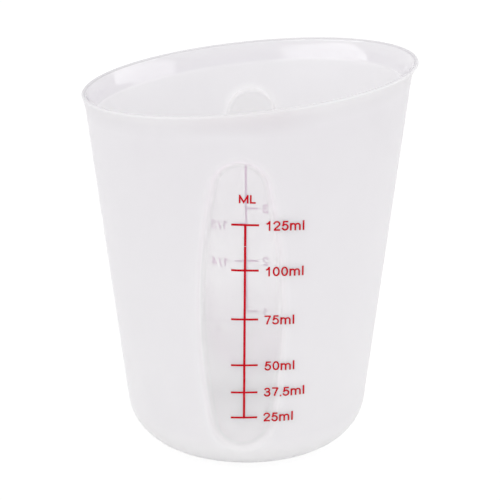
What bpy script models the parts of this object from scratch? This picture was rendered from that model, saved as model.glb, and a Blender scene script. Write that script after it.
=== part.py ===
"""A soft silicone measuring cup, moulded in one piece.

The cup stands on the XY plane with its axis on Z. Its rim lies in a slanted plane that is highest
towards +X, the pouring side. The wall flares out into a thin lip there. The front, towards -Y, and the
back each have a long oval window: the wall is pressed in, stands into the cup and is thinner there, so
that it is easy to grip and the level shows through. The line and the ticks of a printed scale run up
each window in red.
All sizes are in metres.
"""

import math

import bmesh
import bpy

# The body
FOOT_RADIUS = 0.02515  # where the wall's straight line would meet the table
TAPER = 0.116  # how far the wall leans out for each metre of height
FOOT_ROUND = 0.0100  # radius of the rounded edge between the wall and the base
RIM_HEIGHT = 0.0809  # height of the rim on the cup's axis
RIM_SLANT = 0.098  # rise of the rim's plane for each metre towards +X
WALL = 0.0016
FLOOR = 0.0017

# The lip
LIP_HEIGHT = 0.0048
LIP_WALL = 0.0009
LIP_FLARE = 0.00075  # what the rim gains in radius over the wall's straight line
POURING_FLARE = 0.00027  # what the flare gains at +X and loses at -X

# The windows, each an oval of four arcs
WINDOW_FOOT = 0.00715  # height of the oval's lowest point
WINDOW_HALF_WIDTH = 0.0082
WINDOW_TOP_RADIUS = 0.0053
WINDOW_FOOT_RADIUS = 0.0059
WINDOW_DEPTH = 0.0012  # how far the outside is pressed in
WINDOW_WALL = 0.0012
WINDOW_EDGE = 0.0017  # width of the edge round the oval, where the wall rolls in
WINDOW_BELOW_LIP = 0.0008  # plain wall between that edge and the lip, where the rim is lowest

# The printed scales
LINE_WIDTH = 0.0005
TICK_WIDTH = 0.00036
TICK_HALF_LENGTH = 0.0028
PRINT_SHIFT = 0.0009  # the scale's line runs this far right of the window's middle, seen from outside
# Each tick's height, and whether it runs to the left and to the right of the line
FRONT_TICKS = (
    (0.01375, True, True),  # 25 millilitres
    (0.01975, True, True),  # 37.5
    (0.02600, True, True),  # 50
    (0.03645, True, True),  # 75
    (0.04740, True, True),  # 100
    (0.05720, True, True),  # 125
)
BACK_TICKS = (
    (0.01800, True, False),  # 1 fluid ounce
    (0.02980, True, True),  # 2 fluid ounces and a quarter of a cup
    (0.03850, False, True),  # a third of a cup
    (0.04250, True, False),  # 3 fluid ounces
    (0.05450, True, True),  # 4 fluid ounces and half a cup
)

# How finely the curved faces are divided
COLUMNS = 60
ROWS_UNDER_WINDOW = 5
ROWS_IN_FOOT_ROUND = 4
ROWS_IN_WALL = 11
ROWS_IN_LIP = 6
STEPS_ROUND_RIM = 4
STEPS_IN_WINDOW_EDGE = 4
HALVINGS = 60  # of the span in which the radius of the oval's sides is looked for
SNAP = 0.00002  # a corner this near to a cut is taken as lying on it

# The finishes
SILICONE = (0.82, 0.80, 0.83, 1.0)
SILICONE_ROUGHNESS = 0.25
SILICONE_TRANSMISSION = 0.15  # how much light the frosted silicone lets through
RED_INK = (0.52, 0.012, 0.022, 1.0)
INK_ROUGHNESS = 0.45
SILICONE_SLOT = 0
INK_SLOT = 1
SHARP_ANGLE = math.radians(35)


def lip_flare(angle):
    return LIP_FLARE + POURING_FLARE * math.sin(angle)


def rim_height(angle):
    """Height at which the slanted plane cuts the rim, which is wider the higher it lies."""
    rise = RIM_SLANT * math.sin(angle)
    return (RIM_HEIGHT + rise * (FOOT_RADIUS + lip_flare(angle))) / (1 - rise * TAPER)


class Skin:
    """The outer or the inner face of the wall and base, as radius against height."""

    def __init__(self, inset, bottom, fillet):
        self.lean = math.atan(TAPER)
        self.foot_radius = FOOT_RADIUS - inset / math.cos(self.lean)
        self.bottom = bottom
        self.fillet = fillet
        middle = bottom + fillet
        self.flat_radius = self.wall(middle) - fillet / math.cos(self.lean)
        self.fillet_top = middle - fillet * math.sin(self.lean)

    def wall(self, height):
        return self.foot_radius + TAPER * height

    def radius(self, height):
        if height >= self.fillet_top:
            return self.wall(height)
        drop = min(self.bottom + self.fillet - height, self.fillet)
        return self.flat_radius + math.sqrt(self.fillet**2 - drop**2)

    def heights_up_to(self, top, rows):
        """Heights of rows that lie evenly along the fillet from the flat bottom to just below top."""
        whole = math.acos(1 - (top - self.bottom) / self.fillet)
        turns = [whole * row / rows for row in range(rows)]
        return [self.bottom + self.fillet * (1 - math.cos(turn)) for turn in turns]


OUTSIDE = Skin(0.0, 0.0, FOOT_ROUND)
INSIDE = Skin(WALL, FLOOR, FOOT_ROUND - WALL)


class Oval:
    """The window's outline: two end circles and two side arcs that touch both of them.

    A width is measured along the wall's curve, from the oval's upright middle line.
    """

    def __init__(self):
        lowest_lip = rim_height(-math.pi / 2) - LIP_HEIGHT
        top = lowest_lip - WINDOW_BELOW_LIP - WINDOW_EDGE
        self.high = top - WINDOW_TOP_RADIUS
        self.low = WINDOW_FOOT + WINDOW_FOOT_RADIUS
        self.side_radius = self.find_side_radius()
        self.side_height = self.low + self.reach(self.side_radius, WINDOW_FOOT_RADIUS)

    def find_side_radius(self):
        """The side arcs' radius, for which their reaches add up to the distance of the end circles."""
        short = WINDOW_HALF_WIDTH
        long = (self.high - self.low) ** 2 / (WINDOW_HALF_WIDTH - WINDOW_FOOT_RADIUS)
        for _ in range(HALVINGS):
            radius = (short + long) / 2
            both = self.reach(radius, WINDOW_TOP_RADIUS) + self.reach(radius, WINDOW_FOOT_RADIUS)
            if both > self.high - self.low:
                long = radius
            else:
                short = radius
        return radius

    @staticmethod
    def reach(radius, end_radius):
        """Height from a side arc's centre to the centre of the end circle that it touches."""
        return math.sqrt((radius - end_radius) ** 2 - (radius - WINDOW_HALF_WIDTH) ** 2)

    def point(self, width, height, out):
        """The point of the outline, moved outwards by out, that lies towards (width, height)."""
        start = min(max(height, self.low), self.high)
        length = math.hypot(width, height - start)
        across, along = width / length, (height - start) / length
        if height < self.side_height:
            end_height, end_radius = self.low, WINDOW_FOOT_RADIUS
        else:
            end_height, end_radius = self.high, WINDOW_TOP_RADIUS
        centre = math.copysign(self.side_radius - WINDOW_HALF_WIDTH, -width)
        go = self.distance_to_circle(-centre, start - self.side_height, across, along, self.side_radius + out)
        slope = (end_height - self.side_height) / (self.side_radius - end_radius)
        touch = end_height + slope * (end_radius + out)
        if abs(start + along * go - self.side_height) > abs(touch - self.side_height):
            go = self.distance_to_circle(0.0, start - end_height, across, along, end_radius + out)
        return across * go, start + along * go

    @staticmethod
    def distance_to_circle(width, height, across, along, radius):
        """How far it is from (width, height) in the given direction to a circle about the origin."""
        toward = width * across + height * along
        return -toward + math.sqrt(toward**2 - width**2 - height**2 + radius**2)


OVAL = Oval()
# A window's patch is the rectangle of the wall's grid that its oval and edge take up
PATCH_MARGIN = WINDOW_BELOW_LIP / 2
PATCH_LOW = WINDOW_FOOT - WINDOW_EDGE - PATCH_MARGIN
PATCH_HIGH = OVAL.high + WINDOW_TOP_RADIUS + WINDOW_EDGE + PATCH_MARGIN
PATCH_HALF_ANGLE = (WINDOW_HALF_WIDTH + WINDOW_EDGE + PATCH_MARGIN) / INSIDE.wall(OVAL.side_height)
PATCH_HALF_COLUMNS = math.ceil(PATCH_HALF_ANGLE / (2 * math.pi / COLUMNS))


def place(radius, angle, height):
    """A point of the cup. Angle 0 is the front, towards -Y, and a quarter turn on is +X."""
    return radius * math.sin(angle), -radius * math.cos(angle), height


def column_angle(column):
    return 2 * math.pi * column / COLUMNS


def ring(bm, radius_at, height_at):
    """One vertex for each column, at the radius and height that two functions of the angle give."""
    angles = [column_angle(column) for column in range(COLUMNS)]
    return [bm.verts.new(place(radius_at(a), a, height_at(a))) for a in angles]


def level_ring(bm, skin, height):
    return ring(bm, lambda angle: skin.radius(height), lambda angle: height)


def join(bm, first, second, skipped=()):
    """Faces between two closed loops of as many vertices, left open where an index is skipped."""
    for i in range(len(first)):
        if i not in skipped:
            n = (i + 1) % len(first)
            bm.faces.new((first[i], first[n], second[n], second[i]))


def patch_heights():
    """Heights of the rings from a patch's lower edge to its upper edge."""
    turn = OUTSIDE.fillet_top
    foot = [PATCH_LOW + (turn - PATCH_LOW) * row / ROWS_IN_FOOT_ROUND for row in range(ROWS_IN_FOOT_ROUND)]
    wall = [turn + (PATCH_HIGH - turn) * row / ROWS_IN_WALL for row in range(ROWS_IN_WALL + 1)]
    return foot + wall


def skin_rings(bm, skin, open_columns):
    """Lays one skin from its flat bottom up to below the lip, open where the windows' patches lie.

    Returns the rings beside the patches.
    """
    under = [level_ring(bm, skin, h) for h in skin.heights_up_to(PATCH_LOW, ROWS_UNDER_WINDOW)]
    beside = [level_ring(bm, skin, h) for h in patch_heights()]
    bm.faces.new(under[0])
    for low, high in zip(under, under[1:] + beside[:1]):
        join(bm, low, high)
    for low, high in zip(beside, beside[1:]):
        join(bm, low, high, open_columns)
    return beside


def patch_border(rings, middle):
    """The patch's edge as a closed loop: along the bottom, up the right, back along the top, down."""
    columns = [(middle + c) % COLUMNS for c in range(-PATCH_HALF_COLUMNS, PATCH_HALF_COLUMNS + 1)]
    bottom = [rings[0][c] for c in columns]
    right = [ring[columns[-1]] for ring in rings[1:-1]]
    top = [rings[-1][c] for c in reversed(columns)]
    left = [ring[columns[0]] for ring in reversed(rings[1:-1])]
    return bottom + right + top + left


def angle_from(facing, point):
    """Angle of a point round the cup, counted from the direction that a window faces."""
    angle = math.atan2(point.x, -point.y) - facing
    return math.atan2(math.sin(angle), math.cos(angle))


def window_edge(bm, border, skin, facing, depth):
    """The wall rolls in from the patch's border, ever steeper, and meets the window's floor in a crease.

    Returns the loop at the crease.
    """
    aims = [(angle_from(facing, v.co) * skin.radius(v.co.z), v.co.z) for v in border]
    last = border
    for step in range(STEPS_IN_WINDOW_EDGE + 1):
        share = step / STEPS_IN_WINDOW_EDGE
        loop = []
        for aim in aims:
            width, height = OVAL.point(*aim, WINDOW_EDGE * (1 - share))
            radius = skin.radius(height)
            sunk = radius - depth * share**2
            loop.append(bm.verts.new(place(sunk, facing + width / radius, height)))
        join(bm, last, loop)
        last = loop
    return last


def window_floor(bm, loop, skin, facing, depth):
    """A grid of faces across the window, laid at its depth under the skin. Returns its faces."""
    across = 2 * PATCH_HALF_COLUMNS
    half = len(loop) // 2
    bottom = zip(loop[:across], loop[1:])
    top = zip(loop[half : half + across], loop[half + 1 :])
    ends = [bm.edges.get(pair) for pair in (*bottom, *top)]
    faces = bmesh.ops.grid_fill(bm, edges=ends)["faces"]
    for vert in {v for face in faces for v in face.verts} - set(loop):
        angle = facing + angle_from(facing, vert.co)
        vert.co = place(skin.radius(vert.co.z) - depth, angle, vert.co.z)
    return faces


def cut(bm, faces, point, normal):
    """Cuts the faces along a plane and returns all that they are now."""
    parts = set(faces)
    for face in faces:
        parts.update(face.edges, face.verts)
    cut_parts = bmesh.ops.bisect_plane(
        bm, geom=list(parts), dist=SNAP, plane_co=point, plane_no=normal
    )["geom"]
    return [part for part in cut_parts if isinstance(part, bmesh.types.BMFace)]


def print_scale(bm, faces, facing, ticks):
    """Cuts the window's floor along the edges of the scale's line and ticks, and inks what they enclose."""
    outward = math.cos(facing)
    middle = outward * PRINT_SHIFT
    for side in (-TICK_HALF_LENGTH, -LINE_WIDTH / 2, LINE_WIDTH / 2, TICK_HALF_LENGTH):
        faces = cut(bm, faces, (middle + side, 0, 0), (1, 0, 0))
    edges = [(height - TICK_WIDTH / 2, height + TICK_WIDTH / 2) for height, _, _ in ticks]
    for height in (h for pair in edges for h in pair):
        faces = cut(bm, faces, (0, 0, height), (0, 0, 1))
    for face in faces:
        centre = face.calc_center_median()
        width = outward * (centre.x - middle)
        on_line = abs(width) < LINE_WIDTH / 2 and edges[0][0] < centre.z < edges[-1][1]
        on_tick = any(
            low < centre.z < high and abs(width) < TICK_HALF_LENGTH and (to_left if width < 0 else to_right)
            for (low, high), (_, to_left, to_right) in zip(edges, ticks)
        )
        face.material_index = INK_SLOT if on_line or on_tick else SILICONE_SLOT


def make_windows(bm, outer_rings, inner_rings):
    bulge = WINDOW_DEPTH - WALL + WINDOW_WALL
    for middle, ticks in ((0, FRONT_TICKS), (COLUMNS // 2, BACK_TICKS)):
        facing = column_angle(middle)
        crease = window_edge(bm, patch_border(outer_rings, middle), OUTSIDE, facing, WINDOW_DEPTH)
        floor = window_floor(bm, crease, OUTSIDE, facing, WINDOW_DEPTH)
        print_scale(bm, floor, facing, ticks)
        crease = window_edge(bm, patch_border(inner_rings, middle), INSIDE, facing, bulge)
        window_floor(bm, crease, INSIDE, facing, bulge)


def lip_ring(bm, share, inside):
    """A ring of the lip, from its start at share 0 to where the rim's rounding begins at share 1."""
    thickness = (WALL + (LIP_WALL - WALL) * share) / math.cos(OUTSIDE.lean)

    def height(angle):
        return rim_height(angle) - LIP_HEIGHT + share * (LIP_HEIGHT - LIP_WALL / 2)

    def radius(angle):
        outer = OUTSIDE.wall(height(angle)) + lip_flare(angle) * share**3
        return outer - thickness if inside else outer

    return ring(bm, radius, height)


def rim_ring(bm, outer, inner, turn):
    """A ring of the rim's rounding, a half circle from the lip's outer to its inner edge."""
    verts = []
    for a, b in zip(outer, inner):
        half = (a.co - b.co) / 2
        point = (a.co + b.co) / 2 + half * math.cos(turn)
        point.z += half.length * math.sin(turn)
        verts.append(bm.verts.new(point))
    return verts


def make_lip(bm, outer_ring, inner_ring):
    """Joins the two skins over the lip and the rim."""
    shares = [row / ROWS_IN_LIP for row in range(ROWS_IN_LIP + 1)]
    outer = [lip_ring(bm, share, inside=False) for share in shares]
    inner = [lip_ring(bm, share, inside=True) for share in shares]
    turns = [math.pi * step / STEPS_ROUND_RIM for step in range(1, STEPS_ROUND_RIM)]
    rim = [rim_ring(bm, outer[-1], inner[-1], turn) for turn in turns]
    path = [outer_ring] + outer + rim + inner[::-1] + [inner_ring]
    for first, second in zip(path, path[1:]):
        join(bm, first, second)


def make_cup():
    bm = bmesh.new()
    half_patch = range(-PATCH_HALF_COLUMNS, PATCH_HALF_COLUMNS)
    open_columns = {(middle + c) % COLUMNS for middle in (0, COLUMNS // 2) for c in half_patch}
    outer_rings = skin_rings(bm, OUTSIDE, open_columns)
    inner_rings = skin_rings(bm, INSIDE, open_columns)
    make_windows(bm, outer_rings, inner_rings)
    make_lip(bm, outer_rings[-1], inner_rings[-1])
    bmesh.ops.recalc_face_normals(bm, faces=bm.faces)
    mesh = bpy.data.meshes.new("cup")
    bm.to_mesh(mesh)
    bm.free()
    mesh.shade_smooth()
    mesh.set_sharp_from_angle(angle=SHARP_ANGLE)
    return mesh


def make_material(name, colour, roughness, transmission=0.0):
    material = bpy.data.materials.new(name)
    material.use_nodes = True
    shader = material.node_tree.nodes["Principled BSDF"]
    shader.inputs["Base Color"].default_value = colour
    shader.inputs["Roughness"].default_value = roughness
    shader.inputs["Metallic"].default_value = 0.0
    shader.inputs["Transmission Weight"].default_value = transmission
    return material


def clear_scene():
    for thing in list(bpy.data.objects):
        bpy.data.objects.remove(thing)


def main():
    clear_scene()
    cup = bpy.data.objects.new("cup", make_cup())
    silicone = make_material("frosted_silicone", SILICONE, SILICONE_ROUGHNESS, SILICONE_TRANSMISSION)
    cup.data.materials.append(silicone)
    cup.data.materials.append(make_material("red_ink", RED_INK, INK_ROUGHNESS))
    bpy.context.scene.collection.objects.link(cup)


main()
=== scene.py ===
"""Dresses the frame of a soft silicone measuring cup: its frosted body and its two printed red scales.

Every size is in metres. The cup stands on the XY plane, its axis is Z, its front window looks towards -Y
and its rim is highest towards +X.
"""

import math

import bpy
import numpy as np
from bpy.props import FloatProperty, FloatVectorProperty, PointerProperty
from bpy.types import Operator, Panel, PropertyGroup
from mathutils import Matrix, Vector


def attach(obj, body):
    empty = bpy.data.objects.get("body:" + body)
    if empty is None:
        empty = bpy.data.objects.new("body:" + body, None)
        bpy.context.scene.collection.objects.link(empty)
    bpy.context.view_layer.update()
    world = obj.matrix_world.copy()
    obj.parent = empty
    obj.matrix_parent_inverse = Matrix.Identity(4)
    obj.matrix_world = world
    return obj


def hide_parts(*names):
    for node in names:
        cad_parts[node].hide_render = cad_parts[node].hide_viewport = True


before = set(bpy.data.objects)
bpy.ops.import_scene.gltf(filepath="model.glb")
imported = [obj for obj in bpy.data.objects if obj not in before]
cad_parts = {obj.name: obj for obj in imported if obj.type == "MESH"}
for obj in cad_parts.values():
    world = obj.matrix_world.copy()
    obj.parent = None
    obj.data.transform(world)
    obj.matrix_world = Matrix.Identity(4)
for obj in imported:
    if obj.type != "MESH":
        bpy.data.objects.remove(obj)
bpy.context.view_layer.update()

bl_info = {
    "name": "Silicone measuring cup",
    "version": (1, 0, 0),
    "blender": (4, 5, 0),
    "location": "3D View > Sidebar > Cup",
    "description": "Makes a frosted squeeze measuring cup with pressed-in windows and printed scales",
    "category": "Add Mesh",
}

BODY = "root"
CUP_NODE = "cup"

# How finely the body's grid is divided
HALF_COLUMNS = 30  # columns from a window's middle to the side of its patch
SIDE_COLUMNS = 60  # columns from one window's patch to the next
HALF_ROWS = 60  # rows from a patch's middle to its top
PLAIN_RINGS = 2  # rings of a patch before the window's edge begins
ROLL_RINGS = 8  # rings over the rolled part of the edge
CREASE_RINGS = 6  # rings over the soft crease at its foot
FLAT_ROWS = 4
FOOT_ROWS = 8
NECK_ROWS = 9  # rows between the patches and the lip
LIP_ROWS = 20
RIM_ROWS = 10
RIM_PART = 3  # the rim's rounding among the body's stretches of rows, after those of the outer skin
HALVINGS = 60  # of the span in which the radius of the oval's sides is looked for

# How finely the print is drawn
ARC_STEP = 12.0  # degrees between the points of an arc
LAYERS = 8  # heights that neighbouring strokes take in turn
PRESS_ROUNDS = 6  # in which the print finds the wall
UNDER_CORNERS = np.array([1.0, 0.0, 0.0, 1.0])  # those of a ribbon's section that lie in the silicone

# Noises, each as its scale and detail, with the span of its values that counts and what it changes
CLOUD_NOISE, CLOUD_SPAN = (55.0, 3.0), (0.35, 0.65)
MATT_NOISE, MATT_SPAN, MATT_DRIFT = (420.0, 2.0), (0.3, 0.7), 0.03
WAVE_NOISE, WAVE_HEIGHT = (70.0, 1.0), 0.0002
GRAIN_NOISE, GRAIN_HEIGHT = (2600.0, 2.0), 0.000006
SPOT_NOISE, SPOT_SPAN, SPOT_DRIFT = (900.0, 3.0), (0.52, 0.72), 0.12
INK_NOISE, INK_HEIGHT = (3000.0, 2.0), 0.000008

# How far the wall is pressed in, outside and inside the cup, where the painted highlight on a window's rolled
# edge starts, is full and begins to fade
EDGE_HIGHLIGHT_SHARES = ((0.35, 0.05), (0.9, 0.5), (0.985, 0.85))
EDGE_SHADE_FADE = 0.6  # share of its reach at the window's top from which the painted shade on the edge fades
OVER_WINDOW_SHADE_FADE = 0.4  # share of the reach of the painted shade over a window from which it fades
UNDER_SHARE = 0.95  # of the mark under, from which ink shows its underside
SILICONE_IOR = 1.43

# Each softbox's azimuth from the front towards +X, what it takes up to either side, and its lowest and
# highest elevation, in degrees as seen from the cup
SOFTBOXES = (("right_softbox", 89.5, 30.5, 12.0, 43.0), ("left_softbox", -67.0, 37.0, 15.0, 49.0))
FLOOR_ROUGHNESS = 0.9
SENSOR_WIDTH = 36.0  # of the camera, in millimetres


def length(name, default, description):
    return FloatProperty(name=name, description=description, default=default, unit="LENGTH", precision=5)


def span(name, start, end, description):
    return FloatVectorProperty(
        name=name, description=description, default=(start, end), size=2, unit="LENGTH", precision=5
    )


def share(name, default, description):
    return FloatProperty(
        name=name, description=description, default=default, min=0.0, max=1.0, subtype="FACTOR"
    )


def number(name, default, description):
    return FloatProperty(name=name, description=description, default=default, precision=4)


def turn(name, degrees, description):
    return FloatProperty(name=name, description=description, default=math.radians(degrees), subtype="ANGLE")


def colour(name, default, description):
    return FloatVectorProperty(
        name=name, description=description, default=default, min=0.0, max=1.0, subtype="COLOR"
    )


class CupSizes(PropertyGroup):
    foot_radius: length("Foot radius", 0.02515, "Where the wall's straight line would meet the table")
    taper: number("Taper", 0.116, "How far the wall leans out for each metre of height")
    foot_round: length("Foot round", 0.0100, "Radius of the edge between the wall and the base")
    rim_height: length("Rim height", 0.0809, "Height of the rim on the cup's axis")
    rim_slant: number("Rim slant", 0.098, "Rise of the rim's plane for each metre towards +X")
    wall: length("Wall", 0.0016, "Thickness of the wall")
    floor: length("Floor", 0.0017, "Thickness of the base")
    lip_height: length("Lip height", 0.0048, "Height of the thinner band under the rim")
    lip_wall: length("Lip wall", 0.0009, "Thickness of the wall at the rim")
    lip_flare: length("Lip flare", 0.00075, "What the rim gains in radius over the wall's straight line")
    pouring_flare: length("Pouring flare", 0.00027, "What the flare gains at +X and loses at -X")
    window_foot: length("Window foot", 0.00715, "Height of the oval's lowest point")
    window_half_width: length("Window half width", 0.0082, "Half the oval's width along the wall")
    window_top_radius: length("Window top radius", 0.0053, "Radius of the oval's upper end")
    window_foot_radius: length("Window foot radius", 0.0059, "Radius of the oval's lower end")
    window_depth: length("Window depth", 0.0012, "How far the outside is pressed in")
    window_wall: length("Window wall", 0.0012, "Thickness of the wall in the window")
    window_edge: length("Window edge", 0.0017, "Width of the edge where the wall rolls in")
    window_below_lip: length("Below the lip", 0.0008, "Plain wall over the window where the rim is lowest")
    crease_start: share("Crease start", 0.7, "Share of the edge's width where its crease begins")
    clear_reach: length("Clear reach", 0.0042, "How far past the oval the inside lets the view through")
    clear_fade: length("Clear fade", 0.0012, "Width over which that view fades")
    clear_top: length("Clear top", 0.0460, "Height up to which it reaches past the oval")
    clear_rise: length("Clear rise", 0.0160, "Height over which that reach grows, down from its top")


class PrintSizes(PropertyGroup):
    line_width: length("Line width", 0.00047, "Width of each scale's upright line")
    tick_width: length("Tick width", 0.00043, "Width of the ticks")
    tick_half_length: length("Half tick", 0.00254, "Length of a tick on one side of the line")
    digit_height: length("Digit height", 0.00212, "Height of the numbers")
    title_height: length("Title height", 0.00180, "Height of the units over the scales")
    stroke: length("Stroke", 0.00034, "Width of the numbers' strokes")
    letter_gap: length("Letter gap", 0.00025, "Space between two letters")
    break_gap: length("Break", 0.00010, "Length of a break in the line")
    proud: length("Ink height", 0.00002, "How far the ink stands over the silicone")
    layer: length("Ink layer", 0.000003, "How much higher a stroke lies than the one before it")
    sunk: length("Ink depth", 0.00002, "How far the ink reaches into the silicone")
    slice: length("Slice", 0.0003, "Width of the slices in which the print follows the wall")
    lean: number("Lean", 0.0115, "Lean of the print to the right for each metre of height")
    fan: number("Fan", 0.96, "Slope that a tick loses for each metre over the middle")
    fall: number("Fall", 0.334, "Fall of the print for each metre that the wall lies back")
    bow: number("Bow", 3.6, "Rise of the print for each squared metre from its line")


class CupFinish(PropertyGroup):
    # Painted light and shade: the wall is painted darker under the rim and lighter towards the foot, and
    # lighter inside the cup than outside
    outside_shaded_high: colour("Outside, high", (0.706, 0.686, 0.713), "Colour of the outside under the rim")
    outside_lit_low: colour("Outside, low", (0.905, 0.882, 0.917), "Colour of the outside at the foot")
    inside_lit_high: colour("Inside, high", (0.834, 0.814, 0.846), "Colour of the inside under the rim")
    inside_lit_low: colour("Inside, low", (0.96, 0.944, 0.965), "Colour of the inside at the base")
    rise_start: share("Rise start", 0.15, "Share of the height up to which the low colours reach")
    haze: colour("Haze", (0.80, 0.785, 0.815), "Colour of the faint clouds in the silicone")
    haze_gain: share("Haze gain", 0.25, "How much of that colour the clouds take")
    # Painted shade: the lip's glossy inside is darker than the wall, most under the rim
    lip_shade_high: colour("Lip, high", (0.604, 0.582, 0.619), "Colour of the lip's inside under the rim")
    lip_shade_low: colour("Lip, low", (0.765, 0.742, 0.780), "Colour of the lip's inside at its foot")
    lip_start: share("Lip start", 0.15, "Share of the lip's height over which it turns glossy")
    # Painted shade on the lip's outside, under the rim
    lip_outside_shade: colour("Lip outside", (0.645, 0.625, 0.650), "Colour of the lip's outside under the rim")
    # Painted shade: a pinkish darker patch on the wall right over each window, under the rim
    over_window_shade: colour("Blush", (0.600, 0.562, 0.590), "Colour of the wall right over a window")
    over_window_shade_reach: length("Blush reach", 0.0165, "How far the blush reaches to either side")
    over_window_shade_heights: span("Blush heights", 0.0758, 0.0815, "Where the blush begins and where it is full")
    # Painted light and shade in the windows: lighter towards their foot, and their inside much darker at the
    # top
    window_shaded_high: colour("Window, high", (0.895, 0.785, 0.873), "Colour of a window's outside at its top")
    window_lit_low: colour("Window, low", (1.000, 0.905, 0.962), "Colour of a window's outside at its foot")
    window_light_heights: span("Window heights", 0.038, 0.072, "Where a window's outside turns to its high colour")
    pane_shaded_high: colour("Pane, high", (0.345, 0.318, 0.355), "Colour of a window's inside at its top")
    pane_lit_low: colour("Pane, low", (0.72, 0.645, 0.70), "Colour of a window's inside at its foot")
    pane_light_heights: span("Pane heights", 0.010, 0.046, "Where a window's inside turns to its high colour")
    # Painted shade on the rim's thin rounding
    rim_shade: colour("Rim tint", (0.46, 0.445, 0.470), "Colour of the rim's thin rounding")
    # Painted highlight on each window's rolled edge, strongest towards -X and faint inside the cup, and
    # painted shade on that edge outside at the window's top
    edge_highlight: colour("Edge tint", (1.0, 0.98, 1.0), "Colour that a window's rolled edge gathers")
    edge_top_shade: colour("Edge top", (0.70, 0.68, 0.69), "Colour of that edge outside at the window's top")
    edge_shade_heights: span("Edge heights", 0.048, 0.064, "Where the edge turns to the colour of its top")
    edge_shade_gain: share("Top edge gain", 0.65, "How much of that colour the edge takes")
    edge_shade_reach: length("Edge top reach", 0.0068, "How far that reaches to either side")
    edge_highlight_gain_inside: share("Inside edge gain", 0.20, "How much of its tint the edge takes inside the cup")
    edge_highlight_gain: share("Edge gain", 1.0, "How much of its tint it takes towards -X")
    edge_highlight_gain_far: share("Far edge gain", 0.45, "How much of its tint it takes towards +X")
    edge_highlight_side: length("Edge side", 0.0070, "Distance to either side at which these are reached")
    # Painted light where the outside turns under, in the floor's shade
    base_painted_light: colour("Base tint", (1.0, 0.98, 1.0), "Colour of the outside where it turns under")
    base_light_top: length("Base top", 0.0090, "Height up to which that colour reaches")
    window_cover: share("Window cover", 0.40, "How much of the view a window covers")
    foot_cover: share("Window foot cover", 0.97, "How much of the view it covers at its foot")
    cover_heights: span("Cover heights", 0.010, 0.036, "Where a window's cover falls, outside the cup")
    inside_heights: span("Inside cover heights", 0.004, 0.027, "Where it falls inside the cup")
    roughness: share("Roughness", 0.50, "Roughness of the moulded skin")
    lip_roughness: share("Lip roughness", 0.05, "Roughness of the glossier lip")
    rim_roughness: share("Rim roughness", 0.80, "Roughness of the rim's rounding")
    gloss: share("Gloss", 0.35, "Strength of the silicone's gloss")
    scatter: length("Scatter", 0.0060, "How far light spreads inside the silicone")
    ink: colour("Ink", (0.55, 0.003, 0.012), "Colour of the printed ink")
    ink_thin: colour("Thin ink", (0.61, 0.012, 0.026), "Colour where the ink lies thin")
    # Painted light: the ink is painted paler and pinker where it is seen through silicone
    ink_under_painted_light: colour("Ink from under", (1.0, 0.62, 0.91), "Colour of the ink as seen through silicone")
    ink_roughness: share("Ink roughness", 0.42, "Roughness of the ink")
    ink_gloss: share("Ink gloss", 0.05, "Strength of the ink's gloss")


class StageSettings(PropertyGroup):
    floor_half_size: length("Floor half size", 4.0, "Half the side of the floor")
    floor_colour: colour("Floor colour", (0.97, 0.97, 0.97), "Colour of the floor")
    floor_shade: share("Floor shade", 0.12, "How much of the cup's shadow the white floor shows")
    floor_glow: number("Floor glow", 1.05, "Level of the floor's white, as the camera sees it")
    room_level: number("Room level", 1.0, "Level of the even light from all round")
    right_level: number("Right softbox level", 2.7, "Radiance of the right softbox, seen in gloss only")
    left_level: number("Left softbox level", 3.3, "Radiance of the left softbox, seen in gloss only")
    box_distance: length("Softbox distance", 1.0, "Distance of the softboxes from the cup")
    camera_distance: length("Camera distance", 0.371224, "Distance of the camera from its aim")
    camera_aim: length("Camera aim", 0.0419146, "Height of the point on the axis that it aims at")
    camera_shift: length("Camera shift", 0.00078, "How far the camera stands right of the cup's middle")
    camera_rise: turn("Camera rise", 18.485, "How steeply the camera looks down")
    camera_turn: turn("Camera turn", 2.0, "How far the camera is turned round the cup towards +X")
    lens: FloatProperty(name="Lens", description="Focal length of the camera", default=123.11, unit="CAMERA")


class Skin:
    """The outer or the inner face of the wall and base, as radius against height.

    Over the foot the radius is foot_radius + taper * height. In the foot's round it is that of a circle that
    touches both the wall and the flat bottom: flat_radius + sqrt(fillet^2 - drop^2), where drop is how far
    the height lies under the circle's middle.
    """

    def __init__(self, sizes, inset, bottom):
        self.lean = math.atan(sizes.taper)
        self.taper = sizes.taper
        self.foot_radius = sizes.foot_radius - inset / math.cos(self.lean)
        self.bottom = bottom
        self.fillet = sizes.foot_round - inset
        middle = bottom + self.fillet
        self.flat_radius = self.wall(middle) - self.fillet / math.cos(self.lean)
        self.fillet_top = middle - self.fillet * math.sin(self.lean)

    def wall(self, height):
        return self.foot_radius + self.taper * height

    def radius(self, height):
        drop = np.clip(self.bottom + self.fillet - height, 0.0, self.fillet)
        in_round = self.flat_radius + np.sqrt(self.fillet**2 - drop**2)
        return np.where(height >= self.fillet_top, self.wall(height), in_round)

    def foot_heights(self, top, rows):
        """Heights that lie evenly along the foot's round, from the flat bottom to just below top."""
        whole = math.acos(1 - (top - self.bottom) / self.fillet)
        turns = whole * np.arange(rows) / rows
        return self.bottom + self.fillet * (1 - np.cos(turns))


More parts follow.
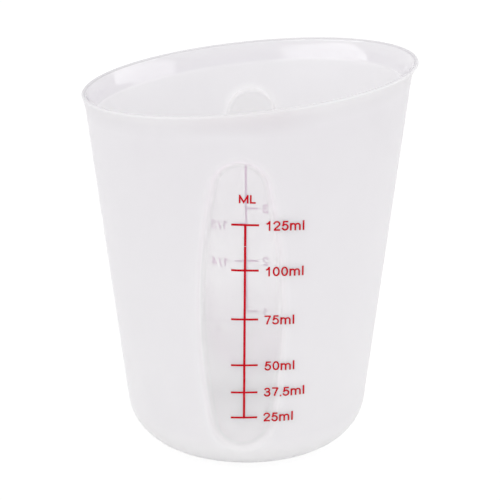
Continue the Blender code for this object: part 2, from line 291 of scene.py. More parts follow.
class Oval:
    """The window's outline: two end circles and two side arcs that touch both of them.

    A width is measured along the wall's curve, from the oval's upright middle line.
    """

    def __init__(self, sizes):
        lowest_lip = rim_height(sizes, -math.pi / 2) - sizes.lip_height
        top = lowest_lip - sizes.window_below_lip - sizes.window_edge
        self.half_width = sizes.window_half_width
        self.top_radius = sizes.window_top_radius
        self.foot_radius = sizes.window_foot_radius
        self.high = top - self.top_radius
        self.low = sizes.window_foot + self.foot_radius
        self.side_radius = self.find_side_radius()
        self.side_height = self.low + self.reach(self.side_radius, self.foot_radius)

    def find_side_radius(self):
        """The side arcs' radius, for which their reaches add up to the distance of the end circles."""
        short = self.half_width
        long = (self.high - self.low) ** 2 / (self.half_width - self.foot_radius)
        for _ in range(HALVINGS):
            radius = (short + long) / 2
            both = self.reach(radius, self.top_radius) + self.reach(radius, self.foot_radius)
            if both > self.high - self.low:
                long = radius
            else:
                short = radius
        return radius

    def reach(self, radius, end_radius):
        """Height from a side arc's centre to the centre of the end circle that it touches."""
        return math.sqrt((radius - end_radius) ** 2 - (radius - self.half_width) ** 2)

    def outside(self, width, height):
        """How far a point lies outside the outline, as the least of its distances to the four arcs.

        The side arc is nearest where the point lies between the two rays from its centre through the
        centres of the end circles, and the upper or lower end circle elsewhere.
        """
        offset = self.side_radius - self.half_width
        from_side = np.abs(width) + offset
        rise = height - self.side_height
        over = rise * offset > (self.high - self.side_height) * from_side
        under = rise * offset < (self.low - self.side_height) * from_side
        to_side = np.hypot(from_side, rise) - self.side_radius
        to_top = np.hypot(width, height - self.high) - self.top_radius
        to_foot = np.hypot(width, height - self.low) - self.foot_radius
        return np.where(over, to_top, np.where(under, to_foot, to_side))

    def point(self, width, height, out):
        """The point of the outline, moved outwards by out, that lies towards (width, height)."""
        start = np.clip(height, self.low, self.high)
        distance = np.hypot(width, height - start)
        distance = np.where(distance > 0, distance, 1.0)
        across, along = width / distance, (height - start) / distance
        lower = height < self.side_height
        end_height = np.where(lower, self.low, self.high)
        end_radius = np.where(lower, self.foot_radius, self.top_radius)
        offset = np.sign(width) * (self.side_radius - self.half_width)
        go = way_to_circle(offset, start - self.side_height, across, along, self.side_radius + out)
        slope = (end_height - self.side_height) / (self.side_radius - end_radius)
        touch = end_height + slope * (end_radius + out)
        on_end = np.abs(start + along * go - self.side_height) > np.abs(touch - self.side_height)
        end_go = way_to_circle(0.0, start - end_height, across, along, end_radius + out)
        go = np.where(on_end, end_go, go)
        return across * go, start + along * go


def way_to_circle(width, height, across, along, radius):
    """How far it is from (width, height) in the given direction to a circle about the origin."""
    toward = width * across + height * along
    return -toward + np.sqrt(np.maximum(toward**2 - width**2 - height**2 + radius**2, 0.0))


def lip_flare(sizes, angle):
    """What the rim gains in radius: the flare, and the pouring side's share of it times the angle's sine."""
    return sizes.lip_flare + sizes.pouring_flare * np.sin(angle)


def rim_height(sizes, angle):
    """Height at which the slanted plane cuts the rim, which is wider the higher it lies."""
    rise = sizes.rim_slant * np.sin(angle)
    radius = sizes.foot_radius + lip_flare(sizes, angle)
    return (sizes.rim_height + rise * radius) / (1 - rise * sizes.taper)


def crease_end(sizes):
    """Where the window's soft crease ends, as a share of the edge's width that is counted from outside."""
    start = sizes.crease_start
    return start + (1 - start**2) / start


def edge_profile(sizes, share_in):
    """How far the wall is pressed in, from 0 to 1, at a share of the edge's width counted from outside.

    It grows with the square of the share, up to crease_start. From there a parabola that starts with the same
    slope brings it level with the window's floor.
    """
    start, end = sizes.crease_start, crease_end(sizes)
    rolled = np.clip(share_in, 0.0, None) ** 2
    left = np.clip(end - share_in, 0.0, None)
    crease = 1 - start * left**2 / (end - start)
    return np.where(share_in < start, rolled, crease)


class Wall:
    """The cup's wall with its windows, from which the body's grid and the print both take their place."""

    def __init__(self, sizes):
        self.sizes = sizes
        self.outer = Skin(sizes, 0.0, 0.0)
        self.inner = Skin(sizes, sizes.wall, sizes.floor)
        self.oval = Oval(sizes)
        margin = sizes.window_below_lip / 2
        self.low = sizes.window_foot - sizes.window_edge - margin
        self.high = self.oval.high + sizes.window_top_radius + sizes.window_edge + margin
        widest = sizes.window_half_width + sizes.window_edge + margin
        self.half_angle = widest / self.inner.wall(self.oval.side_height)

    def pressed(self, width, height):
        """How far the wall is pressed in at a point of a window's plane, from 0 to 1."""
        return edge_profile(self.sizes, 1 - self.oval.outside(width, height) / self.sizes.window_edge)

    def angles(self):
        """The body's columns: evenly across each window's patch, and evenly on the sides between them."""
        side, back = self.half_angle, math.pi
        return np.concatenate([
            np.linspace(-side, side, 2 * HALF_COLUMNS, endpoint=False),
            np.linspace(side, back - side, SIDE_COLUMNS, endpoint=False),
            np.linspace(back - side, back + side, 2 * HALF_COLUMNS, endpoint=False),
            np.linspace(back + side, 2 * back - side, SIDE_COLUMNS, endpoint=False),
        ])


def window_patch(wall, skin, depth):
    """Lays the grid of a window's patch so that its rings run along the window's edge.

    The patch is a rectangle of rows and columns. A point's ring is its distance, in rows or columns, from
    the patch's border. Ring 0 is the border itself, the next ones move onto the outline of the edge, those
    of the edge are the oval moved outwards by less and less, and the last ones shrink to the line between
    the centres of the end circles. Each point lies towards the point of the border that has the same share
    of its side. Returns radius, angle from the window's middle, height and how far the wall is pressed in.
    """
    sizes, oval = wall.sizes, wall.oval
    across = np.arange(-HALF_COLUMNS, HALF_COLUMNS + 1)[None, :]
    up = np.arange(-HALF_ROWS, HALF_ROWS + 1)[:, None]
    ring = np.minimum(HALF_COLUMNS - np.abs(across), HALF_ROWS - np.abs(up))
    share_across = across / np.maximum(HALF_COLUMNS - ring, 1)
    share_up = (1 + up / (HALF_ROWS - ring)) / 2

    start, end = sizes.crease_start, crease_end(sizes)
    roll = start * np.arange(1, ROLL_RINGS + 1) / ROLL_RINGS
    crease = start + (end - start) * np.arange(1, CREASE_RINGS + 1) / CREASE_RINGS
    floor_rings = HALF_COLUMNS - PLAIN_RINGS - ROLL_RINGS - CREASE_RINGS
    share_in = np.concatenate([np.zeros(PLAIN_RINGS + 1), roll, crease, np.full(floor_rings, end)])
    edge_rings = HALF_COLUMNS - floor_rings
    to_edge = np.clip(np.arange(HALF_COLUMNS + 1) / PLAIN_RINGS, 0.0, 1.0)
    to_middle = np.clip((np.arange(HALF_COLUMNS + 1) - edge_rings) / floor_rings, 0.0, 1.0)

    aim_height = wall.low + (wall.high - wall.low) * share_up
    aim_width = wall.half_angle * share_across * skin.radius(aim_height)
    out = sizes.window_edge * (1 - share_in)
    edge_width, edge_height = oval.point(aim_width, aim_height, out[ring])
    width = aim_width + (edge_width - aim_width) * to_edge[ring]
    height = aim_height + (edge_height - aim_height) * to_edge[ring]
    middle_height = oval.low + (oval.high - oval.low) * share_up
    width = width * (1 - to_middle[ring])
    height = height + (middle_height - height) * to_middle[ring]

    pressed = edge_profile(sizes, share_in)[ring]
    skin_radius = skin.radius(height)
    return skin_radius - depth * pressed, width / skin_radius, height, pressed


def skin_grid(wall, skin, depth):
    """Rows of one skin from its flat bottom up to over the windows, as radius, angle, height and pressed."""
    angles = wall.angles()
    flat = skin.flat_radius * np.arange(1, FLAT_ROWS) / FLAT_ROWS
    foot = skin.foot_heights(wall.low, FOOT_ROWS)
    beside = np.linspace(wall.low, wall.high, 2 * HALF_ROWS + 1)
    heights = np.concatenate([np.full(FLAT_ROWS - 1, skin.bottom), foot, beside])
    radii = np.concatenate([flat, skin.radius(foot), skin.radius(beside)])
    shape = (len(heights), len(angles))
    plain = (radii[:, None], angles[None, :], heights[:, None], 0.0)
    grid = [np.broadcast_to(values, shape).copy() for values in plain]
    patch = window_patch(wall, skin, depth)
    rows = np.arange(2 * HALF_ROWS + 1) + FLAT_ROWS - 1 + FOOT_ROWS
    for window in range(2):
        first = window * (2 * HALF_COLUMNS + SIDE_COLUMNS)
        columns = np.arange(2 * HALF_COLUMNS + 1) + first
        facing = window * math.pi
        for values, laid, added in zip(grid, patch, (0.0, facing, 0.0, 0.0)):
            values[np.ix_(rows, columns)] = laid + added
    return grid


def plain_rows(radii, angles, heights):
    """Rows where nothing is pressed in, as radius, angle, height and pressed."""
    return [radii, np.broadcast_to(angles, heights.shape), heights, np.zeros(heights.shape)]


def neck_grid(wall, skin):
    """Rows between the windows' patches and the lip, spread evenly in height on the plain wall."""
    angles = wall.angles()
    lip = rim_height(wall.sizes, angles) - wall.sizes.lip_height
    shares = (np.arange(1, NECK_ROWS) / NECK_ROWS)[:, None]
    heights = wall.high + (lip - wall.high) * shares
    return plain_rows(skin.wall(heights), angles, heights)


def lip_grid(wall, inside):
    """Rows of the lip from its start to where the rim's rounding begins.

    The outside leaves the wall's straight line by the flare times the cube of the row's share, and the
    thickness falls evenly from the wall's to the rim's.
    """
    sizes, angles = wall.sizes, wall.angles()
    shares = (np.arange(LIP_ROWS + 1) / LIP_ROWS)[:, None]
    top = sizes.lip_height - sizes.lip_wall / 2
    heights = rim_height(sizes, angles) - sizes.lip_height + shares * top
    radii = wall.outer.wall(heights) + lip_flare(sizes, angles) * shares**3
    if inside:
        radii = radii - (sizes.wall + (sizes.lip_wall - sizes.wall) * shares) / math.cos(wall.outer.lean)
    return plain_rows(radii, angles, heights)


def rim_grid(outer, inner):
    """The rim's rounding: a half circle over the lip's two edges, as rows from outside to inside."""
    turns = (math.pi * np.arange(1, RIM_ROWS) / RIM_ROWS)[:, None]
    half = (outer[0][-1] - inner[0][-1]) / 2
    radii = (outer[0][-1] + inner[0][-1]) / 2 + half * np.cos(turns)
    heights = outer[2][-1] + half * np.sin(turns)
    return plain_rows(radii, outer[1][-1], heights)


def body_grid(wall):
    """All rows of the body, out along the bottom, up the outside, over the rim and down the inside.

    Returns radius, angle and height, and the marks that the silicone's material reads: window is how far the
    wall is pressed in, inside is 1 on the inner skin, lip grows from 0 to 1 up the lip, rim grows to 1 over
    the outer half of the rim's rounding, and clear tells where the view passes through the skin, which low on
    the inner one reaches past the window's edge.
    """
    sizes = wall.sizes
    bulge = sizes.window_depth - sizes.wall + sizes.window_wall
    outer_lip, inner_lip = lip_grid(wall, inside=False), lip_grid(wall, inside=True)
    down = slice(None, None, -1)
    parts = [
        skin_grid(wall, wall.outer, sizes.window_depth),
        neck_grid(wall, wall.outer),
        outer_lip,
        rim_grid(outer_lip, inner_lip),
        [values[down] for values in inner_lip],
        [values[down] for values in neck_grid(wall, wall.inner)],
        [values[down] for values in skin_grid(wall, wall.inner, bulge)],
    ]
    radius, angle, height, pressed = (np.concatenate([part[i] for part in parts]) for i in range(4))
    counts = [len(part[0]) for part in parts]
    inside = np.repeat(np.arange(len(parts)) > RIM_PART, counts)[:, None] * np.ones(height.shape)
    start, count = sum(counts[:RIM_PART]), counts[RIM_PART]
    rim = np.zeros(height.shape)
    rim[start:start + count] = np.clip(np.linspace(0.0, 2.0, count), 0.0, 1.0)[:, None]
    above = height - (rim_height(sizes, angle) - sizes.lip_height)
    lip = np.clip(above / sizes.lip_height, 0.0, 1.0)
    from_window = (angle + math.pi / 2) % math.pi - math.pi / 2
    outside = wall.oval.outside(from_window * radius, height)
    reach = sizes.clear_reach * np.clip((sizes.clear_top - height) / sizes.clear_rise, 0.0, 1.0)
    around = np.clip((reach - outside) / sizes.clear_fade, 0.0, 1.0)
    clear = np.maximum(inside * around, np.clip(2 * pressed - 1, 0.0, 1.0))
    marks = {"window": pressed, "inside": inside, "lip": lip, "rim": rim, "clear": clear}
    return radius, angle, height, marks


def place(radius, angle, height):
    """Points of the cup. Angle 0 is the front, towards -Y, and a quarter turn on is +X."""
    return np.stack([radius * np.sin(angle), -radius * np.cos(angle), height], axis=-1)


def closed_faces(rows, columns):
    """Faces of a grid that closes round its columns and has one vertex at each end of its rows.

    The vertices are numbered row by row, and the two ends come last.
    """
    column = np.arange(columns)
    following = (column + 1) % columns
    low = np.arange(rows - 1)[:, None] * columns
    high = low + columns
    quads = np.stack([low + column, low + following, high + following, high + column], -1)
    bottom = np.stack([np.full(columns, rows * columns), following, column], -1)
    last = (rows - 1) * columns
    top = np.stack([last + column, last + following, np.full(columns, rows * columns + 1)], -1)
    return quads.reshape(-1, 4).tolist() + bottom.tolist() + top.tolist()


def new_object(name, data, material=None):
    made = bpy.data.objects.new(name, data)
    bpy.context.scene.collection.objects.link(made)
    if material is not None:
        data.materials.append(material)
    return made


def mesh_from(name, points, faces):
    mesh = bpy.data.meshes.new(name)
    mesh.from_pydata(points.tolist(), [], faces)
    mesh.validate()
    mesh.shade_smooth()
    return mesh


def give_attribute(mesh, name, values):
    attribute = mesh.attributes.new(name, "FLOAT", "POINT")
    attribute.data.foreach_set("value", values.astype(np.float32).ravel())


def make_body_mesh(wall):
    radius, angle, height, marks = body_grid(wall)
    ends = np.array([[0.0, 0.0, wall.outer.bottom], [0.0, 0.0, wall.inner.bottom]])
    points = np.concatenate([place(radius, angle, height).reshape(-1, 3), ends])
    mesh = mesh_from("silicone_body", points, closed_faces(*radius.shape))
    for name, values in marks.items():
        give_attribute(mesh, name, np.concatenate([values.ravel(), values[0, :1], values[-1, :1]]))
    return mesh


def arc(across, up, wide, high, start, end):
    """Points along an ellipse about (across, up), from one angle to another in degrees."""
    turns = np.radians(np.linspace(start, end, 2 + round(abs(end - start) / ARC_STEP)))
    return np.stack([across + wide * np.cos(turns), up + high * np.sin(turns)], -1)


def path(*parts):
    """A path through points and arcs, one after the other."""
    return np.concatenate([np.atleast_2d(part) for part in parts])


X_HEIGHT = 0.72  # height of the small letters as a share of a digit's
# Each sign's width as a share of a digit's height, and the middle lines of its strokes. Both run from 0 to 1
# over the space that is left inside half a stroke's width.
SIGNS = {
    "0": (0.67, [arc(0.5, 0.5, 0.5, 0.5, 90, 450)]),
    "1": (0.535, [path((0.64, 1.0), (0.64, 0.0)), path((0.54, 0.93), (0.29, 0.80), (0.06, 0.74))]),
    "2": (0.69, [
        path(arc(0.5, 0.72, 0.48, 0.28, 165, -35), (0.45, 0.3), (0.12, 0.09)),
        path((0.1, 0.0), (0.95, 0.0)),
    ]),
    "3": (0.64, [
        path(arc(0.47, 0.76, 0.44, 0.24, 155, -90), (0.4, 0.52)),
        path(arc(0.47, 0.27, 0.52, 0.27, 85, -160)),
    ]),
    "4": (0.68, [
        path((0.74, 1.0), (0.74, 0.1)),
        path((0.68, 0.94), (0.06, 0.32)),
        path((0.06, 0.26), (0.94, 0.26)),
    ]),
    "5": (0.64, [
        path((0.9, 1.0), (0.2, 1.0), (0.09, 0.52)),
        path(arc(0.47, 0.33, 0.53, 0.33, 140, -155)),
    ]),
    "7": (0.655, [
        path((0.05, 1.0), (0.9, 1.0)),
        path((0.95, 0.95), (0.68, 0.58), (0.48, 0.25), (0.4, 0.05)),
    ]),
    "m": (1.00, [
        path((0.0, X_HEIGHT), (0.0, 0.0)),
        path(arc(0.25, 0.46, 0.25, X_HEIGHT - 0.46, 180, 0), (0.5, 0.0)),
        path(arc(0.75, 0.46, 0.25, X_HEIGHT - 0.46, 180, 0), (1.0, 0.0)),
    ]),
    "l": (0.22, [path((1.0, 1.0), (1.0, 0.0))]),
    ".": (0.18, [path((0.5, 0.005), (0.5, 0.0))]),
    "/": (0.40, [path((0.0, 0.0), (1.0, 1.0))]),
    "M": (1.07, [
        path((0.0, 0.0), (0.0, 1.0)),
        path((0.04, 0.93), (0.5, 0.05), (0.96, 0.93)),
        path((1.0, 1.0), (1.0, 0.0)),
    ]),
    "L": (0.68, [path((0.0, 1.0), (0.0, 0.0), (0.92, 0.0))]),
    "O": (0.96, [arc(0.5, 0.5, 0.5, 0.5, 90, 450)]),
    "Z": (0.74, [
        path((0.05, 1.0), (0.9, 1.0)),
        path((0.93, 0.93), (0.07, 0.07)),
        path((0.1, 0.0), (0.95, 0.0)),
    ]),
    "C": (0.86, [arc(0.52, 0.5, 0.52, 0.5, 45, 315)]),
    "U": (0.80, [path((0.0, 0.95), arc(0.5, 0.4, 0.5, 0.4, 180, 360), (1.0, 0.95))]),
    "P": (0.74, [
        path((0.0, 0.95), (0.0, 0.05)),
        path((0.05, 1.0), (0.6, 1.0), arc(0.6, 0.74, 0.4, 0.26, 80, -80), (0.6, 0.48), (0.05, 0.48)),
    ]),
}


def spread(points, longest):
    """The same path with points added, so that no two lie further apart than longest."""
    lengths = np.hypot(*np.diff(points, axis=0).T)
    along = np.concatenate([[0.0], np.cumsum(lengths)])
    counts = np.maximum(1, np.ceil(lengths / longest)).astype(int)
    runs = [np.linspace(a, b, n, endpoint=False) for a, b, n in zip(along, along[1:], counts)]
    at = np.concatenate(runs + [along[-1:]])
    return np.stack([np.interp(at, along, points[:, 0]), np.interp(at, along, points[:, 1])], -1)


def ribbon(points, width, top, bottom):
    """A rectangle carried along a flat path: width across it, from bottom to top in height over the plane.

    At each point the rectangle stands along the mitre of the two stretches that meet there. A path that ends
    where it starts closes on itself, and any other reaches half a width past its ends, with a face at each.
    """
    closed = np.allclose(points[0], points[-1])
    if closed:
        points = points[:-1]
    else:
        first, last = points[1] - points[0], points[-1] - points[-2]
        points = points.copy()
        points[0] -= first / np.hypot(*first) * width / 2
        points[-1] += last / np.hypot(*last) * width / 2
    steps = np.roll(points, -1, axis=0) - points
    if not closed:
        steps[-1] = steps[-2]
    sides = np.stack([-steps[:, 1], steps[:, 0]], -1) / np.hypot(*steps.T)[:, None]
    before = np.roll(sides, 1, axis=0)
    if not closed:
        before[0] = sides[0]
    mitre = (before + sides) / (1 + (before * sides).sum(-1, keepdims=True))
    left, right = points + mitre * width / 2, points - mitre * width / 2
    count = len(points)
    sections = np.empty((count, 4, 3))
    for corner, (edge, height) in enumerate(((right, bottom), (right, top), (left, top), (left, bottom))):
        sections[:, corner, :2] = edge
        sections[:, corner, 2] = height
    at = np.arange(count if closed else count - 1)[:, None] * 4
    corner = np.arange(4)[None, :]
    turned = (corner + 1) % 4
    after = (at + 4) % (4 * count)
    faces = np.stack([at + corner, after + corner, after + turned, at + turned], -1).reshape(-1, 4).tolist()
    if not closed:
        faces += [[0, 1, 2, 3], [4 * count - k for k in (1, 2, 3, 4)]]
    return sections.reshape(-1, 3), faces


def word_paths(prints, word, start, middle, align):
    """The paths of a word's strokes, from where it starts, about the height of its middle."""
    height = prints.title_height if word.isalpha() else prints.digit_height
    stroke, gap = prints.stroke, prints.letter_gap
    total = sum(SIGNS[sign][0] * height + gap for sign in word) - gap
    across = start - total if align == "RIGHT" else start
    paths = []
    for sign in word:
        wide = SIGNS[sign][0] * height
        size = np.array([max(wide - stroke, 0.0), height - stroke])
        corner = np.array([across + (wide - size[0]) / 2, middle - size[1] / 2])
        paths += [corner + points * size for points in SIGNS[sign][1]]
        across += wide + gap
    return paths


def scale_paths(prints, ticks, breaks):
    """The upright line, in stretches between its breaks, and the ticks to its left, its right or both."""
    reach = prints.tick_half_length
    heights = [tick[0] for tick in ticks]
    ends = [min(heights), *breaks, max(heights)]
    gap = prints.break_gap / 2 + prints.line_width / 2
    lines = []
    for k, (low, high) in enumerate(zip(ends, ends[1:])):
        start = low + gap if k else low
        end = high - gap if k < len(breaks) else high
        lines.append(np.array([[0.0, start], [0.0, end]]))
    marks = [np.array([[-reach * left, height], [reach * right, height]]) for height, left, right in ticks]
    return lines, marks


def lay_print(wall, prints, flat, shift, facing):
    """Lays flat print on the wall outside, its height over the plane along the cup's radius.

    The print is pressed on straight from the front, slanting down a little, so that its letters stay even
    where the wall rolls in. It leans a little, its ticks fan out a little and its ends bow up a little.
    Where a point meets the wall is found in a few rounds, each from the depth that the last one found.
    """
    middle = (wall.oval.low + wall.oval.high) / 2
    across, up = flat[:, 0], flat[:, 1]
    straight = up - prints.fan * across * (up - middle) + prints.bow * across**2
    across = across + shift + prints.lean * (up - middle)
    height, depth = straight, wall.sizes.window_depth
    for _ in range(PRESS_ROUNDS):
        skin_radius = wall.outer.radius(height)
        angle = np.arcsin(across / (skin_radius - depth))
        depth = wall.sizes.window_depth * wall.pressed(angle * skin_radius, height)
        back = skin_radius - wall.sizes.window_depth - (skin_radius - depth) * np.cos(angle)
        height = straight - prints.fall * back
    return place(skin_radius - depth + flat[:, 2], facing + angle, height)


def make_scale(name, wall, prints, ticks, words, breaks, shift, facing, material):
    """One printed scale: its line, ticks and numbers, each stroke a ribbon of ink, in one mesh.

    Ribbons that cross lie a hair higher one after the other, so that no two faces lie in the same place.
    """
    lines, marks = scale_paths(prints, ticks, breaks)
    strokes = [(points, prints.line_width) for points in lines]
    strokes += [(points, prints.tick_width) for points in marks]
    for word in words:
        strokes += [(points, prints.stroke) for points in word_paths(prints, *word)]
    points, faces, count = [], [], 0
    for index, (middle_line, width) in enumerate(strokes):
        top = prints.proud + prints.layer * (index % LAYERS)
        flat, quads = ribbon(spread(middle_line, prints.slice), width, top, -prints.sunk)
        points.append(lay_print(wall, prints, flat, shift, facing))
        faces += [[corner + count for corner in quad] for quad in quads]
        count += len(flat)
    mesh = bpy.data.meshes.new(name)
    mesh.from_pydata(np.concatenate(points).tolist(), [], faces)
    mesh.validate()
    give_attribute(mesh, "under", np.tile(UNDER_CORNERS, count // len(UNDER_CORNERS)))
    return new_object(name, mesh, material)


class Nodes:
    """Adds nodes to a tree. What goes into a node is a number, a colour or another node's output."""

    def __init__(self, tree):
        self.tree = tree

    def feed(self, socket, value):
        if isinstance(value, bpy.types.NodeSocket):
            self.tree.links.new(value, socket)
        else:
            socket.default_value = value

    def new(self, kind, inputs=None, **settings):
        """A new node with its settings, and with each of the given inputs fed."""
        node = self.tree.nodes.new("ShaderNode" + kind)
        for name, value in settings.items():
            setattr(node, name, value)
        for socket, value in (inputs or {}).items():
            self.feed(node.inputs[socket], value)
        return node

    def maths(self, operation, first, second):
        return self.new("Math", {0: first, 1: second}, operation=operation).outputs["Value"]

    def times(self, first, second):
        return self.maths("MULTIPLY", first, second)

    def ranged(self, value, start, end, low, high):
        """The value, taken from between start and end to between low and high."""
        inputs = {"Value": value, "From Min": start, "From Max": end, "To Min": low, "To Max": high}
        return self.new("MapRange", inputs).outputs["Result"]

    def rise(self, value, start, end):
        """0 up to start, 1 from end on, and evenly between."""
        return self.ranged(value, start, end, 0.0, 1.0)

    def between(self, amount, low, high):
        """A number between two others."""
        return self.ranged(amount, 0.0, 1.0, low, high)

    def seen(self):
        """1 for what the camera sees, also in gloss and through what is clear, and 0 for all other light."""
        rays = self.new("LightPath").outputs
        mirrored = self.maths("MAXIMUM", rays["Is Camera Ray"], rays["Is Glossy Ray"])
        return self.maths("MAXIMUM", mirrored, rays["Is Transmission Ray"])


class MaterialNodes(Nodes):
    """A new material's nodes, around its Principled shader, with colours from a group of settings."""

    def __init__(self, name, settings):
        self.settings = settings
        self.material = bpy.data.materials.new(name)
        self.material.use_nodes = True
        super().__init__(self.material.node_tree)
        self.shader = self.tree.nodes["Principled BSDF"]
        self.coordinates = self.new("TexCoord").outputs["Object"]
        self.set("Metallic", 0.0)

    def set(self, socket, value):
        self.feed(self.shader.inputs[socket], value)

    def noise(self, scale, detail):
        inputs = {"Vector": self.coordinates, "Scale": scale, "Detail": detail}
        return self.new("TexNoise", inputs).outputs["Fac"]

    def attribute(self, name):
        return self.new("Attribute", attribute_name=name).outputs["Fac"]

    def along(self, axis):
        """Where a point lies along one of the object's axes."""
        return self.new("SeparateXYZ", {"Vector": self.coordinates}).outputs[axis]

    def colour(self, name):
        """The colour of that name in the settings."""
        return (*getattr(self.settings, name), 1.0)

    def blend(self, amount, first, second):
        """A colour between two others, each the output of a node or a name in the settings."""
        node = self.new("Mix", {"Factor": amount}, data_type="RGBA")
        sockets = [socket for socket in node.inputs if socket.type == "RGBA"]
        for socket, value in zip(sockets, (first, second)):
            self.feed(socket, self.colour(value) if isinstance(value, str) else value)
        return next(socket for socket in node.outputs if socket.type == "RGBA")

    def bump(self, height, distance, **under):
        """The normal over a bump, which lies on another one where that is given as Normal."""
        return self.new("Bump", {"Height": height, "Distance": distance, **under}).outputs["Normal"]


class SiliconeNodes(MaterialNodes):
    """The silicone's nodes, which read the marks on the body's mesh and where a point lies."""

    def __init__(self, finish):
        super().__init__("frosted_silicone", finish)
        marks = ("window", "inside", "lip", "rim", "clear")
        self.window, self.inside, self.lip, self.rim, self.clear = (self.attribute(mark) for mark in marks)
        self.outside = self.maths("SUBTRACT", 1.0, self.inside)
        self.height, self.across = self.along("Z"), self.along("X")
        self.aside = self.maths("ABSOLUTE", self.across, 0.0)
        self.glossy = self.times(self.rise(self.lip, 0.0, finish.lip_start), self.inside)

    def wall_colour(self, rim_top):
        """The plain wall with its faint clouds, and painted light and shade: lighter towards the foot,
        lighter inside than outside and where it turns under, darker on the lip's outside and over each
        window.
        """
        finish = self.settings
        # Painted light and shade: lighter towards the foot, and lighter on the inside than on the outside
        up = self.rise(self.height, finish.rise_start * rim_top, rim_top)
        outer = self.blend(up, "outside_lit_low", "outside_shaded_high")
        inner = self.blend(up, "inside_lit_low", "inside_lit_high")
        clouds = self.ranged(self.noise(*CLOUD_NOISE), *CLOUD_SPAN, 0.0, finish.haze_gain)
        skin = self.blend(clouds, self.blend(self.inside, outer, inner), "haze")
        # Painted light where the outside turns under
        skin = self.blend(self.ranged(self.height, 0.0, finish.base_light_top, 1.0, 0.0), skin, "base_painted_light")
        # Painted shade on the lip's outside
        skin = self.blend(self.times(self.lip, self.outside), skin, "lip_outside_shade")
        # Painted shade over each window, under the rim
        reach = finish.over_window_shade_reach
        beside = self.ranged(self.aside, OVER_WINDOW_SHADE_FADE * reach, reach, 1.0, 0.0)
        risen = self.rise(self.height, *finish.over_window_shade_heights)
        return self.blend(self.times(self.outside, self.times(beside, risen)), skin, "over_window_shade")

    def with_lip(self, skin):
        """Adds the glossy inside of the lip, with painted shade that is darker towards the rim, and painted
        shade on the rim's thin rounding.
        """
        skin = self.blend(self.glossy, skin, self.blend(self.lip, "lip_shade_low", "lip_shade_high"))
        # Painted shade on the rim's thin rounding
        return self.blend(self.rim, skin, "rim_shade")

    def with_panes(self, skin):
        """Adds the windows' painted colours, on the inside as far as they let the view through: painted light
        towards their foot, and painted shade at the top of their inside.
        """
        outer = self.blend(self.rise(self.height, *self.settings.window_light_heights), "window_lit_low", "window_shaded_high")
        inner = self.blend(self.rise(self.height, *self.settings.pane_light_heights), "pane_lit_low", "pane_shaded_high")
        pane_outside, pane_inside = self.times(self.window, self.outside), self.times(self.clear, self.inside)
        pane = self.maths("MAXIMUM", pane_outside, pane_inside)
        return self.blend(pane, skin, self.blend(self.inside, outer, inner))

    def with_edge_highlights(self, skin):
        """Adds a painted highlight on the rolled edge between the wall and each window's floor, strongest
        towards -X and faint inside the cup, and painted shade on that edge outside at the window's top.
        """
        finish = self.settings
        start, full, end = (self.between(self.inside, *shares) for shares in EDGE_HIGHLIGHT_SHARES)
        fading = self.ranged(self.window, end, 1.0, 1.0, 0.0)
        rolled = self.maths("MINIMUM", self.rise(self.window, start, full), fading)
        side, reach = finish.edge_highlight_side, finish.edge_shade_reach
        to_side = self.ranged(self.across, -side, side, finish.edge_highlight_gain, finish.edge_highlight_gain_far)
        at_top = self.ranged(self.aside, EDGE_SHADE_FADE * reach, reach, finish.edge_shade_gain, 0.0)
        to_top = self.rise(self.height, *finish.edge_shade_heights)
        gain = self.between(self.inside, self.between(to_top, to_side, at_top), finish.edge_highlight_gain_inside)
        edge = self.blend(self.times(to_top, self.outside), "edge_highlight", "edge_top_shade")
        return self.blend(self.times(rolled, gain), skin, edge)

    def cover(self):
        """How much of the view is covered: all of it by the wall, and less by a window the higher it is.

        A skin that is met from within the silicone covers nothing, so that a wall counts once.
        """
        finish = self.settings
        limits = zip(finish.cover_heights, finish.inside_heights)
        start, end = (self.between(self.inside, outer, inner) for outer, inner in limits)
        pane = self.ranged(self.height, start, end, finish.foot_cover, finish.window_cover)
        front = self.maths("SUBTRACT", 1.0, self.new("NewGeometry").outputs["Backfacing"])
        return self.times(self.between(self.clear, 1.0, pane), front)


def make_silicone(finish, rim_top):
    """Frosted silicone: light spreads in it, and its windows let part of the view through. Its colour holds
    painted light and shade.
    """
    nodes = SiliconeNodes(finish)
    skin = nodes.with_panes(nodes.with_lip(nodes.wall_colour(rim_top)))
    nodes.set("Base Color", nodes.with_edge_highlights(skin))
    least, most = finish.roughness - MATT_DRIFT, finish.roughness + MATT_DRIFT
    matt = nodes.ranged(nodes.noise(*MATT_NOISE), *MATT_SPAN, least, most)
    roughness = nodes.between(nodes.glossy, matt, finish.lip_roughness)
    nodes.set("Roughness", nodes.between(nodes.rim, roughness, finish.rim_roughness))
    nodes.set("Specular IOR Level", finish.gloss)
    nodes.set("IOR", SILICONE_IOR)
    nodes.set("Alpha", nodes.cover())
    nodes.set("Subsurface Weight", 1.0)
    nodes.set("Subsurface Radius", (1.0, 1.0, 1.0))
    nodes.set("Subsurface Scale", finish.scatter)
    waves = nodes.bump(nodes.noise(*WAVE_NOISE), WAVE_HEIGHT)
    nodes.set("Normal", nodes.bump(nodes.noise(*GRAIN_NOISE), GRAIN_HEIGHT, Normal=waves))
    return nodes.material


